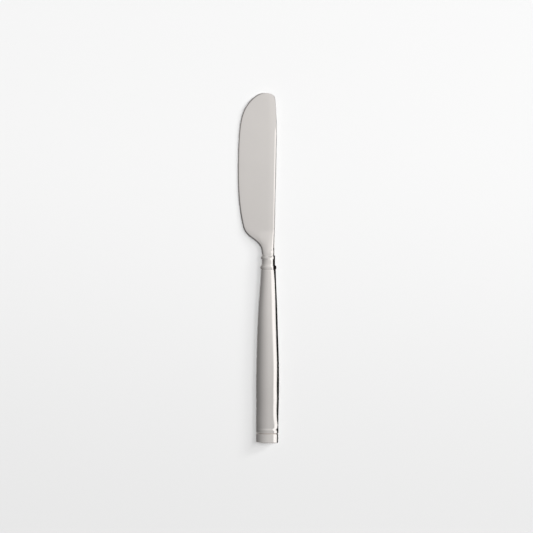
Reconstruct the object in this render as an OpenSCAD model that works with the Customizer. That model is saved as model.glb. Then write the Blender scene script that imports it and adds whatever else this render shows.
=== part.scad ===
// Butter knife with a hollow handle, as it comes to rest on a table: the handle's belly,
// the collar's big bead and the cutting edge touch the table, so the blade is a little tilted.
// The tip points along +Y, the spine is on the +X side, the cutting edge on the -X side.
// The origin is the centre of the knife's footprint, at the height of the table.

/* [Blade] */
// Length of the blade from its shoulder to the tip
blade_length = 79; // [65:0.2:95]
// How far the cutting edge stands out from the handle axis
edge_reach = 15.7; // [12:0.1:18]
// How far the spine stands out from the handle axis
spine_reach = 3.4; // [2.8:0.1:4.5]
// Thickness along the spine
spine_t = 1.9; // [1.4:0.1:2.4]
// Thickness along the cutting edge
edge_t = 0.9; // [0.5:0.1:1.3]
// Thickness of the neck at the shoulder
neck_t = 3.2; // [2.6:0.1:4]

/* [Tang] */
// Length of the tang from the shoulder into the handle
tang_length = 44; // [25:1:60]
// Width of the tang
tang_w = 3.4; // [2.4:0.1:3.6]
// Thickness of the tang
tang_t = 1.5; // [1.2:0.1:1.7]
// Gap all round the tang where it passes through the collar
tang_gap = 0.05; // [0.02:0.01:0.1]

/* [Collar] */
// Length of the collar from the handle mouth to the blade shoulder
collar_length = 7; // [7:0.1:8]
// Width over the big bead
bead_w = 7.7; // [7.3:0.1:8.2]
// Width over the small bead
small_bead_w = 6.9; // [6.7:0.1:7.2]
// Width in the cove between the beads
cove_w = 6.35; // [6.2:0.05:6.45]

/* [Handle] */
// Length of the half shells
shell_length = 79.5; // [65:0.1:100]
// Width of the handle where it is widest
handle_w = 11.3; // [10:0.1:13]
// Thickness of the handle where it is thickest
handle_t = 5.4; // [5.2:0.1:6.8]
// Sheet thickness of the half shells
wall = 0.8; // [0.6:0.1:0.9]
// Thickness of the brazed seam between the half shells
seam_t = 0.1; // [0.06:0.02:0.2]

/* [Butt cap] */
// Length of the cap from the butt to the groove
cap_length = 4.9; // [4:0.1:7]
// How far the cap and the collar plug into the handle
plug_length = 3.1; // [3:0.1:5]
// Depth of the groove between the cap and the shells
groove_d = 0.3; // [0.1:0.02:0.36]

/* [Hidden] */

steel = [0.80, 0.79, 0.77];
braze = [0.85, 0.80, 0.66];
cement = [0.55, 0.52, 0.47];

// Stations along the knife, measured from the butt
mouth = cap_length + shell_length;
shoulder = mouth + collar_length;
overall = shoulder + blade_length;
core_a = cap_length + plug_length;
core_b = mouth - 4.2;

// Steps across half a section, and steps along each curve of the outline
ns = 14;
nb = 8;

// ---- curves ----
function bez(p, t) = (1 - t) ^ 3 * p[0] + 3 * t * (1 - t) ^ 2 * p[1] + 3 * t ^ 2 * (1 - t) * p[2] + t ^ 3 * p[3];
function chain(p, n) = [for (k = [0:3:len(p) - 4]) for (i = [0:n - 1]) bez([p[k], p[k + 1], p[k + 2], p[k + 3]], i / n)];
function last(v) = v[len(v) - 1];

function span(p, x, i = 0) = i >= len(p) - 2 || x <= p[i + 1][0] ? i : span(p, x, i + 1);
function slope(p, i) = let (a = max(i - 1, 0), b = min(i + 1, len(p) - 1)) (p[b][1] - p[a][1]) / (p[b][0] - p[a][0]);
function hermite(h, t, a, b, ma, mb) = a * (1 + 2 * t) * (1 - t) ^ 2 + h * ma * t * (1 - t) ^ 2 + b * t ^ 2 * (3 - 2 * t) + h * mb * t ^ 2 * (t - 1);
function spline(p, x) = let (i = span(p, x), h = p[i + 1][0] - p[i][0]) hermite(h, (x - p[i][0]) / h, p[i][1], p[i + 1][1], slope(p, i), slope(p, i + 1));

// ---- sections: an even crown above a short upright side ----
crown_p = 2;
crown_q = 1;
function crown(u) = max(1 - abs(u) ^ crown_p, 0) ^ (1 / crown_q);
// Points of the upper half from -X to +X: half width a, half thickness b, half height of the side s
function upper(a, b, s, y, x0 = 0) = [for (i = [0:ns]) let (u = sin(-90 + 180 * i / ns)) [x0 + a * u, y, s + (b - s) * crown(u)]];
function flip(v) = [for (i = [len(v) - 1:-1:0]) [v[i][0], v[i][1], -v[i][2]]];
function loop(a, b, s, y, x0 = 0) = concat(upper(a, b, s, y, x0), flip(upper(a, b, s, y, x0)));

// ---- handle: share of the full width and thickness, from the butt end (0) to the mouth (1) ----
width_curve = [[0, 0.972], [0.13, 0.976], [0.29, 1], [0.42, 0.972], [0.57, 0.916], [0.72, 0.838], [0.82, 0.768], [0.92, 0.682], [1, 0.632]];
thick_curve = [[0, 0.95], [0.15, 0.98], [0.3, 1], [0.6, 0.95], [0.82, 0.87], [1, 0.8]];
// Rise of the crown above the side, as a share of the half width
rise = 0.365;
function along(y) = (y - cap_length) / shell_length;
function half_w(y) = handle_w / 2 * spline(width_curve, along(y));
function half_t(y) = handle_t / 2 * spline(thick_curve, along(y));
function side_h(y) = max(half_t(y) - rise * half_w(y), 0.2);

// Low raised bead just above the butt groove, and the eased ends of the shells
bead_at = cap_length + 1.5;
bead_half = 1.2;
bead_rise = 0.045;
function end_bead(y) = abs(y - bead_at) >= bead_half ? 0 : bead_rise * cos(90 * (y - bead_at) / bead_half) ^ 2;
function eased(y) = end_bead(y) - groove_d * max(0, 1 - (y - cap_length) / 0.3) - 0.05 * max(0, 1 - (mouth - y) / 0.5) ^ 2;

shell_rows = concat(
    [cap_length, cap_length + 0.3],
    [for (i = [0:8]) cap_length + 0.6 + i * (plug_length - 0.6) / 8],
    [for (i = [1:22]) core_a + i * (core_b - core_a) / 22],
    [mouth - 2.2, mouth - 0.5, mouth - 0.2, mouth]
);
core_rows = [for (y = shell_rows) if (y > core_a - 0.001 && y < core_b + 0.001) y];
cap_rows = [for (y = shell_rows) if (y < core_a + 0.001) y];
plug_rows = [for (y = shell_rows) if (y > core_b - 0.001) y];

function inner_loop(y) = loop(half_w(y) - wall, half_t(y) - wall, side_h(y) * 0.7, y);
function shell_loop(y) = let (a = half_w(y) + eased(y), b = half_t(y) + eased(y), s = side_h(y), ai = half_w(y) - wall, bi = half_t(y) - wall, si = s * 0.7, g = seam_t / 2) concat(
    [[-a, y, g]], upper(a, b, s, y), [[a, y, g]],
    [[ai, y, g]], [for (i = [ns:-1:0]) upper(ai, bi, si, y)[i]], [[-ai, y, g]]
);

// ---- rest: the knife rolls about its handle until the cutting edge comes down on the table ----
belly = upper(half_w(cap_length + 0.3 * shell_length), half_t(cap_length + 0.3 * shell_length), side_h(cap_length + 0.3 * shell_length), 0);
// How far points of a section lie below the axis, and out to the side, at a roll of r degrees
function down(pts, r) = max([for (p = pts) p[2] * cos(r) + p[0] * sin(r)]);
function out(pts, r) = max([for (p = pts) p[0] * cos(r) + p[2] * sin(r)]);
function edge_down(r) = edge_t / 2 * cos(r) + edge_reach * sin(r);
function settle(a, b, n = 30) = n == 0 ? a : let (m = (a + b) / 2) down(belly, m) > edge_down(m) ? settle(m, b, n - 1) : settle(a, m, n - 1);
roll = settle(0, 30);
rest_h = down(belly, roll);
axis_x = (edge_reach * cos(roll) + edge_t / 2 * sin(roll) - out(belly, roll)) / 2;

// ---- collar: half width along the collar, from the mouth, and its thickness, so that the big bead just touches the table ----
function collar_b(r, k) = bead_w / 2 * k - 1.1 * (bead_w / 2 - r);
function collar_s(r, k) = max(collar_b(r, k) - rise * r, 0.2);
function bead_down(k) = down(upper(bead_w / 2, collar_b(bead_w / 2, k), collar_s(bead_w / 2, k), 0), roll);
function fit_bead(a, b, n = 30) = n == 0 ? a : let (m = (a + b) / 2) bead_down(m) < rest_h ? fit_bead(m, b, n - 1) : fit_bead(a, m, n - 1);
collar_ratio = fit_bead(0.4, 1.2);
function arc(y0, half, base, top, n) = [for (i = [0:n]) [y0 - half * cos(180 * i / n), base + (top - base) * sin(180 * i / n)]];
collar_curve = concat(
    [[0, 3.42], [0.08, 3.43]],
    arc(1.12, 0.97, 3.45, bead_w / 2, 10),
    [[2.2, 3.37], [2.45, 3.26], [2.8, cove_w / 2 + 0.02], [3.9, cove_w / 2], [4.85, cove_w / 2 + 0.02]],
    arc(5.85, 0.8, cove_w / 2 + 0.04, small_bead_w / 2, 8),
    [[collar_length - 0.22, 3.18], [collar_length, 3.06]]
);

// ---- butt cap: share of the full section from the butt, a low dome and a rounded rim ----
cap_curve = concat(
    [[0, 0.05]],
    [for (k = [0.31, 0.47, 0.62, 0.76, 0.86, 0.93]) [0.4 * (k / 0.93) ^ 3, k]],
    [for (i = [1:5]) [0.4 + 0.006 * i + 0.28 * (1 - cos(18 * i)), 0.93 + 0.07 * sin(18 * i)]]
);
// How much thicker the cap is at the butt than at the groove, on each side
cap_flare = 0.12;
cap_a = half_w(cap_length) - 0.05;
cap_b = half_t(cap_length) - 0.05;
cap_s = max(cap_b - 0.338 * cap_a, 0.2);

// ---- blade outline: curve handles at the default size, stretched to the sizes above ----
function edge_pt(x, v) = [-3.25 + (x + 3.25) * (edge_reach - 3.25) / 12.45, shoulder + v * blade_length / 79];
function spine_pt(x, v) = [2.66 + (x - 2.66) * (spine_reach - 2.66) / 0.74, shoulder + v * blade_length / 79];
edge_handles = [for (p = [
    [-3.25, 0], [-3.2, 3.6], [-4.2, 5.5], [-7.8, 7.9],
    [-10.85, 9.95], [-12.3, 11.35], [-13.05, 14.55],
    [-14, 18.35], [-15.7, 26], [-15.7, 42],
    [-15.7, 61.5], [-15.1, 68.6], [-11.45, 73.4],
    [-9.4, 76.2], [-6.05, 79], [-3.3, 79]
]) edge_pt(p[0], p[1])];
spine_handles = [for (p = [[2.4, 76.4], [2.75, 73.2], [3.4, 65.2], [3.4, 58.2], [3.3, 40.2], [2.92, 22.1], [2.66, 0]]) spine_pt(p[0], p[1])];
tip_handles = [last(edge_handles), last(edge_handles) + [2.8, 0], spine_handles[0] + [-0.2, 2.1], spine_handles[0]];
outline = concat(chain(edge_handles, nb), chain(tip_handles, nb), chain(spine_handles, nb), [last(spine_handles)]);

// Neck: a low crowned tongue that sinks into the flat of the leaf
neck_x = -0.25;
neck_a = 2.85;
tongue_length = 18;
function tongue_b(v) = 0.35 + (neck_t / 2 - 0.35) * (1 + cos(180 * min(v / tongue_length, 1))) / 2;

// ---- solids ----
module loft(rows) {
    m = len(rows[0]);
    n = len(rows);
    function mid(r) = [(r[0][0] + r[floor(m / 2)][0]) / 2, r[0][1], 0];
    pts = concat([for (r = rows) each r], [mid(rows[0]), mid(rows[n - 1])]);
    sides = [for (k = [0:n - 2]) for (i = [0:m - 1]) let (a = k * m + i, b = k * m + (i + 1) % m) each [[a, a + m, b + m], [a, b + m, b]]];
    ends = [for (i = [0:m - 1]) let (j = (i + 1) % m) each [[n * m, i, j], [n * m + 1, (n - 1) * m + j, (n - 1) * m + i]]];
    polyhedron(pts, concat(sides, ends), convexity = 4);
}

// A trough: rows whose first half runs along the outside and second half back along the inside
module trough(rows) {
    m = len(rows[0]);
    n = len(rows);
    h = m / 2;
    pts = [for (r = rows) each r];
    sides = [for (k = [0:n - 2]) for (i = [0:m - 1]) let (a = k * m + i, b = k * m + (i + 1) % m) each [[a, a + m, b + m], [a, b + m, b]]];
    t = (n - 1) * m;
    ends = [for (i = [0:h - 2]) let (j = m - 1 - i) each [[i, i + 1, j - 1], [i, j - 1, j], [t + i, t + j - 1, t + i + 1], [t + i, t + j, t + j - 1]]];
    polyhedron(pts, concat(sides, ends), convexity = 6);
}

module place() { translate([axis_x, -overall / 2, rest_h]) rotate([0, -roll, 0]) children(); }

// Flat bar with two pairs of notches that key into the cement
module tang_bar(grow = 0, notched = true) {
    w = tang_w / 2 + grow;
    tip_y = shoulder - tang_length;
    difference() {
        translate([0, 0, -tang_t / 2 - grow]) linear_extrude(tang_t + 2 * grow)
            polygon([[-w, shoulder], [-w, tip_y + 6], [-w * 0.6, tip_y], [w * 0.6, tip_y], [w, tip_y + 6], [w, shoulder]]);
        if (notched) for (y = [tip_y + 11, tip_y + 19]) for (x = [-1, 1])
            translate([x * (w + 0.3), y, -5]) cylinder(h = 10, r = 0.9, $fn = 32);
    }
}

module leaf() {
    a = atan((spine_t - edge_t) / 2 / (edge_reach + spine_reach));
    intersection() {
        translate([0, 0, -5]) linear_extrude(10) polygon(outline);
        translate([0, shoulder - 5, 0]) rotate([-90, 0, 0]) linear_extrude(blade_length + 10) polygon([
            [-edge_reach - 2, edge_t / 2 - 2 * tan(a)], [-edge_reach - 2, -edge_t / 2 + 2 * tan(a)],
            [spine_reach + 2, -spine_t / 2 - 2 * tan(a)], [spine_reach + 2, spine_t / 2 + 2 * tan(a)]
        ]);
    }
}

module blade() {
    color(steel) place() {
        leaf();
        loft([for (v = [0:1.5:tongue_length]) loop(neck_a, tongue_b(v), tongue_b(v) * 0.6, shoulder + v, neck_x)]);
        tang_bar();
    }
}

module collar() {
    color(steel) place() difference() {
        loft(concat(
            [for (y = plug_rows) inner_loop(y)],
            [for (p = collar_curve) loop(p[1], collar_b(p[1], collar_ratio), collar_s(p[1], collar_ratio), mouth + p[0])]
        ));
        translate([-tang_w / 2 - tang_gap, core_b - 1, -tang_t / 2 - tang_gap])
            cube([tang_w + 2 * tang_gap, shoulder - core_b + 2, tang_t + 2 * tang_gap]);
    }
}

module half_shell() { trough([for (y = shell_rows) shell_loop(y)]); }
module handle_shell_top() { color(steel) place() half_shell(); }
module handle_shell_bottom() { color(steel) place() mirror([0, 0, 1]) half_shell(); }

module seam_braze() {
    g = seam_t / 2;
    color(braze) place() for (side = [0, 1]) mirror([side, 0, 0])
        loft([for (y = shell_rows) let (a = half_w(y) + eased(y), i = half_w(y) - wall) [[i, y, -g], [i, y, g], [a, y, g], [a, y, -g]]]);
}

module butt_cap() {
    color(steel) place() loft(concat(
        [for (c = cap_curve) loop(cap_a * c[1], (cap_b + cap_flare) * c[1], (cap_s + cap_flare) * c[1], c[0])],
        [loop(cap_a, cap_b, cap_s, cap_length - 0.3), loop(cap_a - groove_d, cap_b - groove_d, cap_s * 0.7, cap_length)],
        [for (y = cap_rows) inner_loop(y)]
    ));
}

module cement_core() {
    color(cement) place() difference() {
        loft([for (y = core_rows) inner_loop(y)]);
        tang_bar();
    }
}

blade();
collar();
handle_shell_top();
handle_shell_bottom();
seam_braze();
butt_cap();
cement_core();
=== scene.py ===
import math

import bpy
import numpy as np
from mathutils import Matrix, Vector


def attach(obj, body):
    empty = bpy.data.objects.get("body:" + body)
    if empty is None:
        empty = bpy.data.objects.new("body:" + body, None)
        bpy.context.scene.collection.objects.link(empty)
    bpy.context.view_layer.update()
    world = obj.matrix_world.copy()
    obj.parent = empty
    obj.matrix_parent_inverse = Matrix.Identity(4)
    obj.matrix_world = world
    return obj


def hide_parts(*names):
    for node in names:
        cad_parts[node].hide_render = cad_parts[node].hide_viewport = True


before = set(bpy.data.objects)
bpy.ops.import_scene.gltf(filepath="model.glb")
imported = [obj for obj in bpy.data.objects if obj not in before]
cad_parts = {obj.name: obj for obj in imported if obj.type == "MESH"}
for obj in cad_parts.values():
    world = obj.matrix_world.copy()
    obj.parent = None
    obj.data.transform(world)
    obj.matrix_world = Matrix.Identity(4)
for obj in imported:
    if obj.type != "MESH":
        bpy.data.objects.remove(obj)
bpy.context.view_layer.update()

MM = 0.001

# ---------------------------------------------------------------- sizes, in mm, as in the frame
OVERALL, CAP, SHELL, COLLAR = 170.4, 4.9, 79.5, 7.0
MOUTH = CAP + SHELL
SHOULDER = MOUTH + COLLAR
HANDLE_W, HANDLE_T, WALL, SEAM, GROOVE, PLUG = 11.3, 5.385, 0.8, 0.1, 0.3, 3.1
EDGE_REACH, SPINE_REACH = 15.7, 3.4
SPINE_T, EDGE_T, NECK_T = 1.9, 0.9, 3.2
TANG_L, TANG_W, TANG_T = 44.0, 3.4, 1.5
BEAD_W, SMALL_BEAD_W, COVE_W = 7.7, 6.9, 6.35
RISE = 0.365  # of the crown above the side, as a share of the half width
# at rest the knife is rolled until its cutting edge touches the table
ROLL, REST_H, AXIS_X = math.radians(8.4587), 2.7545, 4.9575
CORE_A, CORE_B = CAP + PLUG, MOUTH - 4.2


def to_frame(p):
    """Millimetres along the knife (x across, y from the butt, z from the axis) to metres in the frame."""
    x, y, z = np.asarray(p, float).T
    c, s = math.cos(ROLL), math.sin(ROLL)
    return np.stack([x * c - z * s + AXIS_X, y - OVERALL / 2, x * s + z * c + REST_H], 1) * MM


# ---------------------------------------------------------------- curves
def spline(points, x):
    p = np.asarray(points, float)
    px, py = p[:, 0], p[:, 1]
    m = np.empty(len(p))
    m[1:-1] = (py[2:] - py[:-2]) / (px[2:] - px[:-2])
    m[0] = (py[1] - py[0]) / (px[1] - px[0])
    m[-1] = (py[-1] - py[-2]) / (px[-1] - px[-2])
    x = np.asarray(x, float)
    i = np.clip(np.searchsorted(px, x, side="left") - 1, 0, len(p) - 2)
    h = px[i + 1] - px[i]
    t = (x - px[i]) / h
    return (
        py[i] * (1 + 2 * t) * (1 - t) ** 2
        + h * m[i] * t * (1 - t) ** 2
        + py[i + 1] * t**2 * (3 - 2 * t)
        + h * m[i + 1] * t**2 * (t - 1)
    )


def smoothed(values, sigma):
    """Gaussian smoothing of evenly spaced values, mirrored about both ends."""
    r = int(4 * sigma) + 1
    k = np.exp(-0.5 * (np.arange(-r, r + 1) / sigma) ** 2)
    k /= k.sum()
    ext = np.concatenate([2 * values[0] - values[r:0:-1], values, 2 * values[-1] - values[-2 : -r - 2 : -1]])
    return np.convolve(ext, k, "valid")


FINE = np.linspace(0, 1, 800)
WIDTH = smoothed(spline([(0, 0.962), (0.13, 0.966), (0.29, 0.992), (0.42, 0.97), (0.57, 0.916), (0.72, 0.838), (0.82, 0.768), (0.92, 0.682), (1, 0.632)], FINE), 18)
THICK = smoothed(spline([(0, 0.95), (0.15, 0.98), (0.3, 1), (0.6, 0.95), (0.82, 0.87), (1, 0.8)], FINE), 18)


def half_w(y):
    return HANDLE_W / 2 * np.interp((y - CAP) / SHELL, FINE, WIDTH)


def half_t(y):
    return HANDLE_T / 2 * np.interp((y - CAP) / SHELL, FINE, THICK)


def side_h(y):
    """The crown lies a little lower just before the bead at the butt."""
    t = np.clip((y - 10.0) / 10.0 if y > 10.0 else (10.0 - y) / 3.5, 0, 1)
    return np.maximum(half_t(y) - (RISE - 0.02 * np.cos(np.pi / 2 * t) ** 2) * half_w(y), 0.2)


def bow(y):
    """Slight sideways bow of the pressed shells: towards the edge before the collar, towards the spine at the butt."""
    t, b = abs(y - 60.0) / 24.0, min(max((y - 26.0) / 20.0, 0.0), 1.0)
    return 0.06 * (1 - b * b * (3 - 2 * b)) - (0.16 * math.cos(math.pi / 2 * t) ** 2 if t < 1 else 0.0)


def eased(y):
    """Low bead above the butt groove, and the rounded ends of the shells."""
    d = abs(y - (CAP + 1.5)) / 1.2
    bead = 0.045 * math.cos(math.pi / 2 * d) ** 2 if d < 1 else 0.0
    return bead - GROOVE * max(0.0, 1 - (y - CAP) / 0.3) - 0.05 * max(0.0, 1 - (MOUTH - y) / 0.5) ** 2


def crown(u):
    return np.maximum(1 - u * u, 0)


DRAFT = 0.16  # lean of the handle's upright sides, inwards towards the table


def half_section(a, b, s, n, soft=0.06, lean=0.0, fall=0.0, knee=0.45):
    """n + 1 points of the upper half of a section, from the seam over the crown to the seam, with its corners polished round and more points there."""
    t = np.linspace(-1, 1, 1201)
    u = np.sin(math.pi / 2 * t)
    x, z = a * u, s + (b - s) * crown(u) - fall * a * np.maximum(u - knee, 0) ** 3
    side = np.linspace(0, 1, 40)[:-1]
    foot = (a - lean * s * (1 - side))
    x = np.concatenate([-foot, x, foot[::-1]])
    z = np.concatenate([s * side, z, z[-1] * side[::-1]])
    # even steps, then the polish
    d = np.concatenate([[0], np.cumsum(np.hypot(np.diff(x), np.diff(z)))])
    m = 1500
    e = np.linspace(0, d[-1], m)
    x, z = np.interp(e, d, x), np.interp(e, d, z)
    sig = soft / (d[-1] / m)
    r = int(4 * sig) + 1
    k = np.exp(-0.5 * (np.arange(-r, r + 1) / sig) ** 2)
    k /= k.sum()
    # the side runs straight on across the seam plane
    xe = np.concatenate([2 * x[0] - x[r:0:-1], x, 2 * x[-1] - x[-2 : -r - 2 : -1]])
    ze = np.concatenate([-z[r:0:-1], z, -z[-2 : -r - 2 : -1]])
    x, z = np.convolve(xe, k, "valid"), np.convolve(ze, k, "valid")
    x *= max(a, a - lean * s) / np.abs(x).max()
    z *= b / z.max()
    # the same count of points on each side, corner and crown, so that the lines along the piece keep to them
    dl, dr = d[39], d[39 + 1200]
    on_side, on_crown = min(3 * soft, 0.6 * dl), min(3 * soft, 0.1 * (dr - dl))
    marks = [0, dl - on_side, dl + on_crown, dr - on_crown, dr + min(3 * soft, 0.6 * (d[-1] - dr)), d[-1]]
    counts = [3, 10, n - 26, 10, 3]
    pick = np.concatenate([np.linspace(a0, a1, k + 1)[:-1] for a0, a1, k in zip(marks, marks[1:], counts)] + [[d[-1]]])
    return np.interp(pick, e, x), np.interp(pick, e, z)


# ---------------------------------------------------------------- meshes
def make(name, verts, faces, sharp=40.0):
    me = bpy.data.meshes.new(name)
    me.from_pydata([tuple(v) for v in to_frame(verts)], [], [tuple(f) for f in faces])
    me.validate()
    me.update()
    me.shade_smooth()
    me.set_sharp_from_angle(angle=math.radians(sharp))
    ob = bpy.data.objects.new(name, me)
    bpy.context.scene.collection.objects.link(ob)
    return ob


def tube_faces(rows, m, closed_rows=False):
    """Quads over rows of m points each; each row is a closed loop that runs clockwise seen from the butt."""
    f = []
    last = rows if closed_rows else rows - 1
    for k in range(last):
        o, p = k * m, ((k + 1) % rows) * m
        for i in range(m):
            j = (i + 1) % m
            f.append((o + i, o + j, p + j, p + i))
    return f


def loft(name, rows, sharp=40.0):
    """Closed solid over full loops, with a fan at each end."""
    m, n = len(rows[0]), len(rows)
    v = np.concatenate(rows)
    f = tube_faces(n, m)
    v = np.concatenate([v, [rows[0].mean(0)], [rows[-1].mean(0)]])
    a, b, t = n * m, n * m + 1, (n - 1) * m
    for i in range(m):
        j = (i + 1) % m
        f.append((a, j, i))
        f.append((b, t + i, t + j))
    return make(name, v, f, sharp)


def full_loop(a, b, s, y, n, soft=0.06, fall=0.0, under=None, knee=0.45):
    """A closed section; under gives the lower half's thickness and side, where they differ."""
    b2, s2 = under or (b, s)
    x, z = half_section(a, b, s, n, soft, DRAFT, fall, knee)
    top = np.stack([x, np.full(n + 1, y), z], 1)
    x, z = half_section(a - DRAFT * (s + s2), b2, s2, n, soft, -DRAFT)
    low = np.stack([x[::-1], np.full(n + 1, y), -z[::-1]], 1)
    return np.concatenate([top[:-1], low[:-1]])


NS = 56


def inner_half(y, n):
    return half_section(half_w(y) - WALL, half_t(y) - WALL, side_h(y) * 0.7, n)


# rows along the handle, closer together at the ends
SHELL_Y = np.concatenate([
    CAP + np.array([0, 0.1, 0.2, 0.27, 0.3, 0.33, 0.4, 0.5]),
    np.linspace(CAP + 0.6, CAP + 3.1, 22),
    np.linspace(CORE_A, CORE_B, 100)[1:],
    np.linspace(CORE_B, MOUTH - 0.75, 12)[1:],
    MOUTH - np.array([0.65, 0.55, 0.45, 0.36, 0.27, 0.18, 0.1, 0.04, 0.0]),
])


def shell(name, flip):
    rows = []
    g = SEAM / 2
    for y in SHELL_Y:
        e = eased(y)
        a, b, s = half_w(y) + e, half_t(y) + e, side_h(y)
        x, z = half_section(a - 2 * DRAFT * s, b, s, NS, lean=-DRAFT) if flip else half_section(a, b, s, NS, lean=DRAFT, fall=0.25 * max(0.0, 1 - (MOUTH - y) / 6))
        xi, zi = inner_half(y, NS)
        z, zi = z.copy(), zi.copy()
        z[0] = z[-1] = zi[0] = zi[-1] = g
        o = np.stack([x + bow(y), np.full(NS + 1, y), np.maximum(z, g)], 1)
        i = np.stack([xi, np.full(NS + 1, y), np.maximum(zi, g)], 1)[::-1]
        rows.append(np.concatenate([o, i]))
    m, n = len(rows[0]), len(rows)
    h = m // 2
    f = tube_faces(n, m)
    t = (n - 1) * m
    for i in range(h - 1):
        j = m - 1 - i
        f.append((i, j, j - 1, i + 1))
        f.append((t + i, t + i + 1, t + j - 1, t + j))
    v = np.concatenate(rows)
    if flip:
        v = v * np.array([1, 1, -1])
        f = [q[::-1] for q in f]
    return make(name, v, f)


def braze(name):
    """Two thin strips of filler between the shells' rims."""
    g = SEAM / 2
    vs, fs = [], []
    for sx in (1, -1):
        rows = []
        for y in SHELL_Y:
            a, i = half_w(y) + eased(y) - DRAFT * side_h(y) - 0.02 + sx * bow(y), half_w(y) - WALL
            rows.append(np.array([[i, y, -g], [i, y, g], [a, y, g], [a, y, -g]]) * np.array([sx, 1, 1]))
        n, base = len(rows), sum(len(v) for v in vs)
        f = tube_faces(n, 4) + [(3, 2, 1, 0), tuple((n - 1) * 4 + k for k in range(4))]
        f = [tuple(base + k for k in q) for q in f]
        fs += f if sx > 0 else [q[::-1] for q in f]
        vs.append(np.concatenate(rows))
    return make(name, np.concatenate(vs), fs)


def on_rectangle(x, z, w, h):
    """Each point moved along its ray from the centre to the edge of a rectangle of half sizes w and h."""
    k = np.maximum(np.abs(x) / w, np.abs(z) / h)
    return x / k, z / k


def arc(y0, half, base, top, n):
    t = np.linspace(0, math.pi, n + 1)
    return [(y0 - half * math.cos(k), base + (top - base) * math.sin(k)) for k in t]


def collar(name):
    c = COVE_W / 2
    curve = (
        [(0, 3.40), (0.05, 3.42), (0.1, 3.43)]
        + arc(1.12, 0.97, 3.45, BEAD_W / 2, 26)
        + [(2.2, 3.37), (2.32, 3.30), (2.46, 3.24), (2.68, c + 0.03), (3.0, c + 0.01), (3.9, c), (4.7, c + 0.01), (4.95, c + 0.03)]
        + arc(5.85, 0.8, c + 0.04, SMALL_BEAD_W / 2, 20)
        + [(6.72, 3.2), (6.8, 3.18), (6.91, 3.13), (7.0, 3.06)]
    )
    rows = []
    for y in np.linspace(CORE_B, MOUTH, 10):
        x, z = inner_half(y, NS)
        top = np.stack([x, np.full(NS + 1, y), z], 1)
        low = np.stack([x[::-1], np.full(NS + 1, y), -z[::-1]], 1)
        rows.append(np.concatenate([top[:-1], low[:-1]]))
    for y, r in curve:
        b2 = BEAD_W / 2 * 0.708 - 1.1 * (BEAD_W / 2 - r)
        knee = 0.45
        if y < 4:
            k = max(r - c, 0) / (BEAD_W / 2 - c)
            b, fall, off, knee = 2.11 + 0.06 * (r - c), 0.55 - 0.15 * k, 0.0, 0.45 - 0.19 * k
        else:
            k = max(r - c, 0) / (SMALL_BEAD_W / 2 - c)
            b, fall, off = 2.11 + 0.02 * (r - c), 0.55 - 0.5 * k, -0.26 * k
        rows.append(full_loop(r, b, b - RISE * r, MOUTH + y, NS, fall=fall, under=(b2, b2 - RISE * r), knee=knee) + np.array([off, 0, 0]))
    # the slot that the tang passes through
    w, h = TANG_W / 2 + 0.05, TANG_T / 2 + 0.05
    for base in (rows[-1], rows[0]):
        x, z = on_rectangle(base[:, 0], base[:, 2], w, h)
        rows.append(np.stack([x, base[:, 1], z], 1))
    m = len(rows[0])
    return make(name, np.concatenate(rows), tube_faces(len(rows), m, True))


def cap(name):
    a, b = half_w(CAP) - 0.05, half_t(CAP) - 0.05
    s = b - 0.338 * a
    side = np.array([bow(0.0), 0, 0])
    rows = []
    # domed end, rounded rim, side, eased edge of the groove, plug
    t = np.linspace(0.04, 0.93, 16)
    prof = [(0.40 * (k / 0.93) ** 3, k) for k in t]
    for k in np.linspace(0.06, 1, 14):
        q = k * math.pi / 2
        prof.append((0.40 + 0.03 * k + 0.28 * (1 - math.cos(q)), 0.93 + 0.07 * math.sin(q)))
    flare = 0.12
    for y, k in prof:
        rows.append(full_loop(a * k, (b + flare) * k, (s + flare) * k, y, NS) + side)
    for y in np.linspace(0.85, CAP - 0.45, 9):
        e = flare * (CAP - 0.4 - y) / (CAP - 1.1)
        rows.append(full_loop(a, b + e, s + e, y, NS) + side)
    for k in (0.0, 0.1, 0.3, 0.6, 1.0):
        rows.append(full_loop(a - GROOVE * k, b - GROOVE * k, s * (1 - 0.3 * k), CAP - 0.3 * (1 - k), NS) + side)
    for y in np.linspace(CAP, CORE_A, 8):
        x, z = inner_half(y, NS)
        top = np.stack([x, np.full(NS + 1, y), z], 1)
        low = np.stack([x[::-1], np.full(NS + 1, y), -z[::-1]], 1)
        rows.append(np.concatenate([top[:-1], low[:-1]]))
    return loft(name, rows)


# ---------------------------------------------------------------- blade
def bez(p, t):
    p, t = np.asarray(p, float), np.asarray(t, float)[:, None]
    return (1 - t) ** 3 * p[0] + 3 * t * (1 - t) ** 2 * p[1] + 3 * t**2 * (1 - t) * p[2] + t**3 * p[3]


def chain(p, n):
    out = [bez(p[k : k + 4], np.linspace(0, 1, n + 1)[:-1]) for k in range(0, len(p) - 3, 3)]
    return np.concatenate(out + [np.asarray(p[-1:], float)])


EDGE = [(-3.25, 0), (-3.2, 3.6), (-4.2, 5.5), (-7.8, 7.9), (-10.85, 9.95), (-12.3, 11.35), (-12.98, 14.55), (-13.88, 18.35), (-15.7, 26.2), (-15.7, 42.0), (-15.7, 61.3), (-14.92, 68.45), (-11.28, 73.4), (-9.35, 76.2), (-6.05, 79), (-3.3, 79)]
TIP = [(-3.3, 79), (-0.5, 79), (2.2, 78.5), (2.4, 76.4)]
SPINE = [(2.4, 76.4), (2.75, 73.2), (3.4, 65.2), (3.4, 58.2), (3.3, 40.2), (2.92, 22.1), (2.66, 0)]


def resample(p, n, weight=None):
    d = np.hypot(*np.diff(p, axis=0).T)
    if weight is not None:
        d = d * weight[:-1]
    c = np.concatenate([[0], np.cumsum(d)])
    k = np.linspace(0, c[-1], n + 1)
    return np.stack([np.interp(k, c, p[:, 0]), np.interp(k, c, p[:, 1])], 1)


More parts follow.
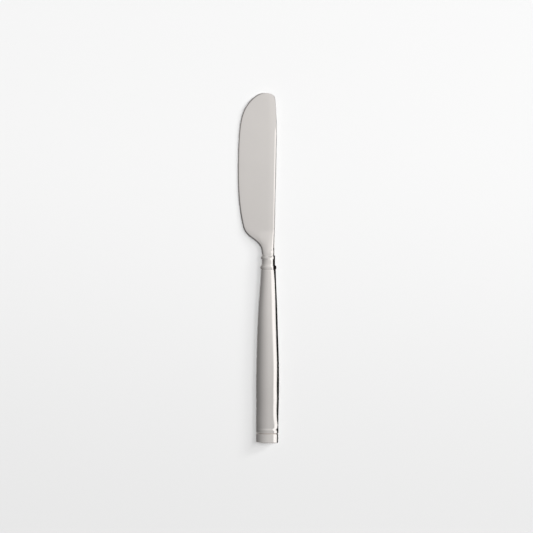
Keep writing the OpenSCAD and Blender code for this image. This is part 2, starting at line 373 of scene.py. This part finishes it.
def blade(name):
    whole = np.concatenate([chain(EDGE, 400), chain(TIP, 400)[1:], chain(SPINE, 400)[1:]])
    # take the corners off the handles' joins
    d = np.concatenate([[0], np.cumsum(np.hypot(*np.diff(whole, axis=0).T))])
    e = np.linspace(0, d[-1], 6000)
    whole = np.stack([smoothed(np.interp(e, d, whole[:, k]), 24) for k in (0, 1)], 1)
    # three sides: edge up to the tip, across the tip, spine down to the shoulder
    ia = np.argmin(np.hypot(whole[:, 0] + 9.6, whole[:, 1] - 75.7))
    ib = np.argmin(np.hypot(whole[:, 0] - 2.15, whole[:, 1] - 77.8))
    nl, nt = 190, 40
    left = resample(whole[: ia + 1], nl)
    tip = resample(whole[ia : ib + 1], nt)
    # on the spine, match the edge's heights so that the cross rows stay level
    right_src = whole[ib:][::-1]
    yr = np.interp(np.linspace(0, 1, nl + 1), np.linspace(0, 1, nl + 1), left[:, 1])
    yr = yr / yr[-1] * right_src[-1, 1]
    right = np.stack([np.interp(yr, right_src[:, 1], right_src[:, 0]), yr], 1)
    rim = np.concatenate([left, tip[1:-1], right[::-1]])
    # inward normals along the rim
    tan = np.gradient(rim, axis=0)
    tan /= np.linalg.norm(tan, axis=1)[:, None]
    nor = np.stack([tan[:, 1], -tan[:, 0]], 1)
    nor[0] = (1, 0)
    nor[-1] = (-1, 0)

    depths = np.array([0, 0.015, 0.04, 0.075, 0.12, 0.18, 0.25, 0.33, 0.42, 0.52, 0.64, 0.8, 1.0])
    rings = [rim + nor * k for k in depths]
    for r in rings:
        r[0, 1] = r[-1, 1] = 0.0
        r[:, 1] = np.maximum(r[:, 1], 0.0)
    # fill inside the last ring with a patch over its four sides
    core = rings[-1]
    A, T, B = core[: nl + 1], core[nl : nl + nt + 1], core[nl + nt :][::-1]
    S = np.linspace(A[0], B[0], nt + 1)
    u = np.linspace(0, 1, nt + 1)[None, :, None]
    v = np.linspace(0, 1, nl + 1)[:, None, None]
    patch = (
        (1 - u) * A[:, None] + u * B[:, None] + (1 - v) * S[None] + v * T[None]
        - (1 - u) * (1 - v) * A[0] - u * (1 - v) * B[0] - (1 - u) * v * A[-1] - u * v * B[-1]
    )

    from mathutils import kdtree

    kd = kdtree.KDTree(len(whole))
    for i, p in enumerate(whole):
        kd.insert((p[0], p[1], 0), i)
    kd.balance()

    def rim_distance(p):
        return np.array([kd.find((q[0], q[1], 0))[2] for q in p])

    def step(v, lo, hi):
        t = np.clip((v - lo) / (hi - lo), 0, 1)
        return t * t * (3 - 2 * t)

    def height(p, dist):
        x, y = p[:, 0], p[:, 1]
        # the ground faces: a wedge with a faint belly
        h = EDGE_T / 2 + (x + EDGE_REACH) * (SPINE_T - EDGE_T) / 2 / (EDGE_REACH + SPINE_REACH)
        h = h - np.where(x < -6.0, 0.0005, 0.0017) * (x + 6.0) ** 2
        # the neck: a low crown, fuller towards the spine, that runs out into the flat
        t = np.clip(y / 13.0, 0, 1)
        neck = (NECK_T / 2 - 0.86) * (1 - t**3 * (10 - 15 * t + 6 * t * t))
        d = x + 0.55 - 0.1 * np.minimum(y, 3.5)
        w = np.where(d < 0, 2.8 + 0.36 * y, 3.3 + 0.03 * y + 0.45 * np.clip(y - 2.2, 0, 2) + 0.35 * np.maximum(y - 5.0, 0))
        un = np.clip(d / w, -1, 1)
        h = h + neck * (1 - un * un) ** (1 + np.clip(y / 5.0, 0, 1))
        back = step(x, -3.0, 1.5)
        root = 1 - step(y, 1.5, 5.0)
        waist = step(y, 1.5, 4.0) * (1 - step(y, 9.0, 13.0))

        def ramp(v, soft):
            return (v + np.sqrt(v * v + soft * soft)) / 2

        # eased shoulders, then on the edge side a narrow ground bevel, on the spine side a chamfer that runs out towards the tip
        tip_end = step(y, 57.0, 68.0)
        h = h - (0.05 + 0.14 * back * (1 - root)) * np.clip(1 - dist / (3.0 + 1.5 * back), 0, 1) ** 2 - 0.2 * back * root * np.clip(1 - dist / 1.2, 0, 1) ** 2
        bevel = h - (0.6 - 0.32 * root) * ramp(0.62 - dist, 0.05)
        rounded = h - 0.27 * (1 - root) * (1 - tip_end) * ramp(0.95 + 0.05 * waist - dist, 0.06) - 1.2 * (1 - root) * ramp(0.29 - 0.2 * tip_end + 0.1 * waist - dist, 0.03)
        return np.maximum(bevel + (rounded - bevel) * back, 0.04)

    flat = np.concatenate(rings[:-1] + [patch.reshape(-1, 2)])
    dist = np.concatenate([np.full(len(rim), k) for k in depths[:-1]] + [rim_distance(patch.reshape(-1, 2))])
    z = height(flat, dist)
    nr, nrim = len(rings) - 1, len(rim)
    grid0 = nr * nrim

    def g(i, j):
        return grid0 + i * (nt + 1) + j

    inner = [g(i, 0) for i in range(nl + 1)] + [g(nl, j) for j in range(1, nt)] + [g(i, nt) for i in range(nl, -1, -1)]
    loops = [[k * nrim + i for i in range(nrim)] for k in range(nr)] + [inner]
    f = []
    for a, b in zip(loops[:-1], loops[1:]):
        for i in range(nrim - 1):
            f.append((a[i], a[i + 1], b[i + 1], b[i]))
    for i in range(nl):
        for j in range(nt):
            f.append((g(i, j), g(i + 1, j), g(i + 1, j + 1), g(i, j + 1)))
    n = len(flat)
    top = np.column_stack([flat[:, 0], SHOULDER + flat[:, 1], z])
    low = top * np.array([1, 1, -1])
    verts = np.concatenate([top, low])
    faces = [q for q in f] + [tuple(n + k for k in q[::-1]) for q in f]
    for i in range(nrim - 1):
        faces.append((i + 1, i, n + i, n + i + 1))
    # the shoulder face and the tang, in rows of the same count
    row_top = [k * nrim for k in range(nr)] + [g(0, j) for j in range(nt + 1)] + [k * nrim + nrim - 1 for k in range(nr - 1, -1, -1)]
    ring = row_top + [n + k for k in row_top[::-1]]
    loop0 = verts[ring]
    x, zz = on_rectangle(loop0[:, 0], np.where(np.abs(loop0[:, 2]) < 1e-6, 1e-6, loop0[:, 2]), TANG_W / 2, TANG_T / 2)
    m = len(ring)
    rows = []
    tip_y = SHOULDER - TANG_L
    ys = sorted(set([SHOULDER, tip_y, tip_y + 6] + list(np.linspace(tip_y, tip_y + 6, 5)) + [SHOULDER - 6, SHOULDER - 12] + [c + k for c in (tip_y + 11, tip_y + 19) for k in np.linspace(-0.86, 0.86, 9)]), reverse=True)
    for y in ys:
        w = TANG_W / 2
        if y < tip_y + 6:
            w *= 0.6 + 0.4 * (y - tip_y) / 6
        for c in (tip_y + 11, tip_y + 19):
            if abs(y - c) < 0.9:
                w = min(w, TANG_W / 2 + 0.3 - math.sqrt(0.81 - (y - c) ** 2))
        rows.append(np.stack([x * w / (TANG_W / 2), np.full(m, y), zz], 1))
    base = len(verts)
    verts = np.concatenate([verts] + rows + [[[0, tip_y, 0]]])
    for i in range(m):
        j = (i + 1) % m
        faces.append((ring[i], ring[j], base + j, base + i))
        for k in range(len(rows) - 1):
            o, p = base + k * m, base + (k + 1) * m
            faces.append((o + i, o + j, p + j, p + i))
        e = base + (len(rows) - 1) * m
        faces.append((e + i, e + j, len(verts) - 1))
    return make(name, verts, [q[::-1] for q in faces], 45.0)


# ---------------------------------------------------------------- materials
def nodes_of(mat):
    mat.use_nodes = True
    nt = mat.node_tree
    nt.nodes.clear()
    out = nt.nodes.new("ShaderNodeOutputMaterial")
    bsdf = nt.nodes.new("ShaderNodeBsdfPrincipled")
    nt.links.new(bsdf.outputs[0], out.inputs["Surface"])
    return nt, bsdf


def noise(nt, coords, scale, stretch=(1, 1, 1), detail=3.0, rough=0.5):
    mp = nt.nodes.new("ShaderNodeMapping")
    mp.inputs["Scale"].default_value = [scale * k for k in stretch]
    nt.links.new(coords, mp.inputs["Vector"])
    n = nt.nodes.new("ShaderNodeTexNoise")
    n.inputs["Scale"].default_value = 1.0
    n.inputs["Detail"].default_value = detail
    n.inputs["Roughness"].default_value = rough
    nt.links.new(mp.outputs["Vector"], n.inputs["Vector"])
    return n.outputs["Fac"]


def remap(nt, value, a, b, c, d):
    m = nt.nodes.new("ShaderNodeMapRange")
    m.inputs["From Min"].default_value = a
    m.inputs["From Max"].default_value = b
    m.inputs["To Min"].default_value = c
    m.inputs["To Max"].default_value = d
    nt.links.new(value, m.inputs["Value"])
    return m.outputs["Result"]


def add(nt, a, b):
    m = nt.nodes.new("ShaderNodeMath")
    m.operation = "ADD"
    nt.links.new(a, m.inputs[0])
    nt.links.new(b, m.inputs[1])
    return m.outputs[0]


def mix_colours(nt, fac, c0, c1):
    r = nt.nodes.new("ShaderNodeValToRGB")
    r.color_ramp.elements[0].color = (*c0, 1)
    r.color_ramp.elements[1].color = (*c1, 1)
    nt.links.new(fac, r.inputs["Fac"])
    return r.outputs["Color"]


def polished_steel(name, lines=(1, 0.05, 1), rough=(0.045, 0.085), dark=(0.675, 0.645, 0.622), light=(0.72, 0.688, 0.664)):
    """Mirror polished stainless steel: slow clouding of the polish, and hairlines that run along the piece."""
    mat = bpy.data.materials.new(name)
    nt, bsdf = nodes_of(mat)
    tc = nt.nodes.new("ShaderNodeTexCoord")
    co = tc.outputs["Object"]
    cloud = noise(nt, co, 90.0, (1, 1, 1), 4.0, 0.55)
    hair = noise(nt, co, 5200.0, lines, 2.0, 0.6)
    bsdf.inputs["Metallic"].default_value = 1.0
    nt.links.new(mix_colours(nt, cloud, dark, light), bsdf.inputs["Base Color"])
    r = add(nt, remap(nt, cloud, 0.3, 0.7, *rough), remap(nt, hair, 0.35, 0.75, 0.0, 0.02))
    nt.links.new(r, bsdf.inputs["Roughness"])
    bump = nt.nodes.new("ShaderNodeBump")
    bump.inputs["Strength"].default_value = 0.02
    bump.inputs["Distance"].default_value = 0.00002
    nt.links.new(hair, bump.inputs["Height"])
    nt.links.new(bump.outputs["Normal"], bsdf.inputs["Normal"])
    return mat


def cement_material(name):
    mat = bpy.data.materials.new(name)
    nt, bsdf = nodes_of(mat)
    tc = nt.nodes.new("ShaderNodeTexCoord")
    co = tc.outputs["Object"]
    grain = noise(nt, co, 1400.0, (1, 1, 1), 6.0, 0.65)
    patch = noise(nt, co, 160.0, (1, 1, 1), 3.0, 0.5)
    nt.links.new(mix_colours(nt, add(nt, remap(nt, grain, 0.3, 0.7, 0, 0.6), remap(nt, patch, 0.3, 0.7, 0, 0.4)), (0.20, 0.18, 0.155), (0.40, 0.37, 0.32)), bsdf.inputs["Base Color"])
    nt.links.new(remap(nt, grain, 0.3, 0.7, 0.75, 0.95), bsdf.inputs["Roughness"])
    bump = nt.nodes.new("ShaderNodeBump")
    bump.inputs["Strength"].default_value = 0.5
    bump.inputs["Distance"].default_value = 0.0001
    nt.links.new(grain, bump.inputs["Height"])
    nt.links.new(bump.outputs["Normal"], bsdf.inputs["Normal"])
    return mat


STEEL_BLADE = polished_steel("steel_blade", lines=(0.05, 1, 1), dark=(0.686, 0.656, 0.632), light=(0.732, 0.699, 0.675))
STEEL_HANDLE = polished_steel("steel_handle", lines=(1, 0.04, 1))
STEEL_RING = polished_steel("steel_rings", lines=(0.05, 1, 0.05), dark=(0.715, 0.684, 0.66), light=(0.76, 0.727, 0.702))
BRAZE = polished_steel("silver_braze", lines=(1, 0.05, 1), rough=(0.12, 0.22), dark=(0.62, 0.58, 0.50), light=(0.70, 0.66, 0.58))
CEMENT = cement_material("handle_cement")

# ---------------------------------------------------------------- the knife
pieces = [
    (blade("knife_blade"), "blade", STEEL_BLADE, "polished_steel"),
    (collar("knife_collar"), "collar", STEEL_RING, "polished_steel"),
    (shell("knife_shell_top", False), "handle_shell_top", STEEL_HANDLE, "polished_steel"),
    (shell("knife_shell_bottom", True), "handle_shell_bottom", STEEL_HANDLE, "polished_steel"),
    (braze("knife_seam"), "seam_braze", BRAZE, "silver_braze"),
    (cap("knife_butt_cap"), "butt_cap", STEEL_HANDLE, "polished_steel"),
]
for ob, node, mat, slot in pieces:
    ob.data.materials.append(mat)
    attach(ob, "root")
    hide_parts(node)
OWN = {"seam_braze": BRAZE, "cement_core": CEMENT, "collar": STEEL_RING, "blade": STEEL_BLADE}
for name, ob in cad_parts.items():
    ob.data.materials.clear()
    ob.data.materials.append(OWN.get(name, STEEL_HANDLE))

# ---------------------------------------------------------------- floor, light, camera
scene = bpy.context.scene
scene.view_settings.view_transform = "Standard"
scene.view_settings.look = "None"

fm = bpy.data.materials.new("floor_white")
nt, fb = nodes_of(fm)
ftc = nt.nodes.new("ShaderNodeTexCoord")
fsep = nt.nodes.new("ShaderNodeSeparateXYZ")
nt.links.new(ftc.outputs["Object"], fsep.inputs[0])
# painted light: the floor's colour is a ramp along Y, darker towards the butt, standing in for light falling off across
# the floor
floor_painted_falloff = nt.nodes.new("ShaderNodeValToRGB")
floor_painted_falloff.color_ramp.interpolation = "EASE"
floor_painted_falloff.color_ramp.elements[0].color = (0.501, 0.501, 0.501, 1)
floor_painted_falloff.color_ramp.elements[1].color = (0.563, 0.563, 0.563, 1)
nt.links.new(remap(nt, fsep.outputs["Y"], -0.15, 0.07, 0.0, 1.0), floor_painted_falloff.inputs["Fac"])
nt.links.new(floor_painted_falloff.outputs["Color"], fb.inputs["Base Color"])
fb.inputs["Roughness"].default_value = 0.9
fb.inputs["Specular IOR Level"].default_value = 0.0
me = bpy.data.meshes.new("floor")
S = 12.0
me.from_pydata([(-S, -S, 0), (S, -S, 0), (S, S, 0), (-S, S, 0)], [], [(0, 1, 2, 3)])
floor = bpy.data.objects.new("floor", me)
floor.data.materials.append(fm)
scene.collection.objects.link(floor)

world = bpy.data.worlds.new("studio")
scene.world = world
world.use_nodes = True
wt = world.node_tree
wt.nodes.clear()
wo = wt.nodes.new("ShaderNodeOutputWorld")
bg = wt.nodes.new("ShaderNodeBackground")
wt.links.new(bg.outputs[0], wo.inputs["Surface"])
tc = wt.nodes.new("ShaderNodeTexCoord")
sep = wt.nodes.new("ShaderNodeSeparateXYZ")
wt.links.new(tc.outputs["Generated"], sep.inputs[0])


def wmath(op, a, b=None):
    m = wt.nodes.new("ShaderNodeMath")
    m.operation = op
    for k, v in enumerate((a, b)):
        if v is None:
            continue
        if isinstance(v, (int, float)):
            m.inputs[k].default_value = v
        else:
            wt.links.new(v, m.inputs[k])
    return m.outputs[0]


def wrange(v, a, b, c, d, smooth=False):
    m = wt.nodes.new("ShaderNodeMapRange")
    m.interpolation_type = "SMOOTHSTEP" if smooth else "LINEAR"
    for k, x in zip(("From Min", "From Max", "To Min", "To Max"), (a, b, c, d)):
        m.inputs[k].default_value = x
    wt.links.new(v, m.inputs["Value"])
    return m.outputs["Result"]


def wramp(value, lo, hi, stops, mode="LINEAR"):
    """Grey level by value: stops are (value, level) pairs."""
    r = wt.nodes.new("ShaderNodeValToRGB")
    r.color_ramp.interpolation = mode
    el = r.color_ramp.elements
    while len(el) < len(stops):
        el.new(0.5)
    for e, (x, v) in zip(el, stops):
        e.position = (x - lo) / (hi - lo)
    for e, (x, v) in zip(el, stops):
        e.color = (v, v, v, 1)
    wt.links.new(wrange(value, lo, hi, 0, 1), r.inputs["Fac"])
    return r.outputs["Color"]


# the room in long strips beside the knife, by angle from overhead in degrees: dim on the left, an even ceiling,
# then a long softbox and a dark curtain beyond it on the right
deg = wmath("MULTIPLY", wmath("ARCTAN2", sep.outputs["X"], sep.outputs["Z"]), 180 / math.pi)
along = sep.outputs["Y"]
strips = wramp(deg, -110, 110, [(-95, 0.27), (-87, 0.30), (-82, 0.315), (-75.5, 0.37), (-68, 0.45), (-60.7, 0.545), (-52.8, 0.635), (-44.7, 0.73), (-36.3, 0.80), (-28, 0.87), (-19.4, 0.94), (-11, 1.0), (-2.6, 1.05), (5, 1.06)])
# dimmer towards the butt
lengthwise = wramp(along, -1.0, 1.0, [(-0.9, 0.45), (-0.5, 0.52), (-0.25, 0.64), (-0.14, 0.665), (-0.115, 0.67), (-0.082, 0.68), (-0.07, 0.69), (-0.055, 0.72), (-0.023, 0.755), (-0.005, 0.775), (0.009, 0.845), (0.017, 0.868), (0.038, 0.89), (0.058, 0.925), (0.078, 0.94), (0.15, 0.935), (0.3, 0.93)])
level = wmath("MULTIPLY", strips, lengthwise)
# the softbox: its sides run a little aslant
near_side = wmath("MULTIPLY", wramp(along, -0.2, 0.2, [(-0.12, 0.34), (-0.09, 0.32), (-0.077, 0.257), (-0.05, 0.272), (-0.024, 0.285), (0.001, 0.222), (0.02, 0.178), (0.03, 0.127), (0.06, 0.12)]), 100.0)
far_side = wmath("MULTIPLY", wramp(along, -0.2, 0.2, [(-0.12, 0.49), (-0.09, 0.468), (-0.077, 0.448), (-0.05, 0.434), (-0.036, 0.455), (-0.024, 0.466), (0.001, 0.438), (0.02, 0.45), (0.03, 0.453), (0.05, 0.45), (0.07, 0.44)]), 100.0)
beyond = wrange(wmath("SUBTRACT", deg, far_side), -0.7, 0.7, 0, 1, True)
inside = wmath("MULTIPLY", wrange(wmath("SUBTRACT", deg, near_side), -1.0, 1.0, 0, 1, True), wmath("MULTIPLY", wrange(along, -0.40, -0.30, 0, 1, True), wrange(along, 0.65, 0.75, 1, 0, True)))


def wmix(fac, a, b):
    m = wt.nodes.new("ShaderNodeMix")
    m.data_type = "FLOAT"
    for k, v in ((0, fac), (2, a), (3, b)):
        if isinstance(v, (int, float)):
            m.inputs[k].default_value = v
        else:
            wt.links.new(v, m.inputs[k])
    return m.outputs[0]


level = wmix(beyond, wmix(inside, level, 1.43), 0.012)
lp = wt.nodes.new("ShaderNodeLightPath")
# the steel sees the room; the floor is lit by the fills and a little even light
level = wmix(lp.outputs["Is Glossy Ray"], 0.06, level)
wt.links.new(wmix(lp.outputs["Is Camera Ray"], level, 0.93), bg.inputs["Strength"])
bg.inputs["Color"].default_value = (1.0, 1.0, 1.0, 1)


FLOOR_LIGHT = 1.655


def fill(name, right_deg, tip_deg, half_deg, share):
    """Soft light for the floor, by its angle from overhead to the right and towards the tip, its angular radius and its share of the floor's light; it leaves no image of itself in the steel."""
    distance = 5.0
    way = Vector((math.tan(math.radians(right_deg)), math.tan(math.radians(tip_deg)), 1.0)).normalized()
    h = math.radians(half_deg)
    size = 2 * distance * math.tan(h)
    radiance = share * FLOOR_LIGHT / (math.sin(h) ** 2 * way.z)
    li = bpy.data.lights.new(name, "AREA")
    li.shape = "DISK"
    li.size = size
    li.energy = radiance * math.pi * math.pi * size * size / 4
    ob = bpy.data.objects.new(name, li)
    ob.location = way * distance
    ob.rotation_euler = way.to_track_quat("Z", "Y").to_euler()
    ob.visible_camera = False
    ob.visible_glossy = False
    scene.collection.objects.link(ob)
    return ob


fill("key_overhead", 3, 3, 6, 0.6)
fill("fill_right_1", 30, 8, 6, 0.125)
fill("fill_right_2", 38, 18, 5, 0.068)
fill("fill_right_3", 48, 27, 6, 0.06)
fill("fill_right_4", 58, 42, 5, 0.05)
fill("fill_right_5", 65.5, 52, 4.5, 0.062)

cam_data = bpy.data.cameras.new("camera")
cam_data.lens, cam_data.sensor_width = 135.0, 36.0
cam_data.clip_start, cam_data.clip_end = 0.01, 50.0
cam = bpy.data.objects.new("camera", cam_data)
cam.location = (0.00385, 0.0008, 0.9741)
cam.rotation_euler = (0, 0, math.radians(0.50))
scene.collection.objects.link(cam)
scene.camera = cam
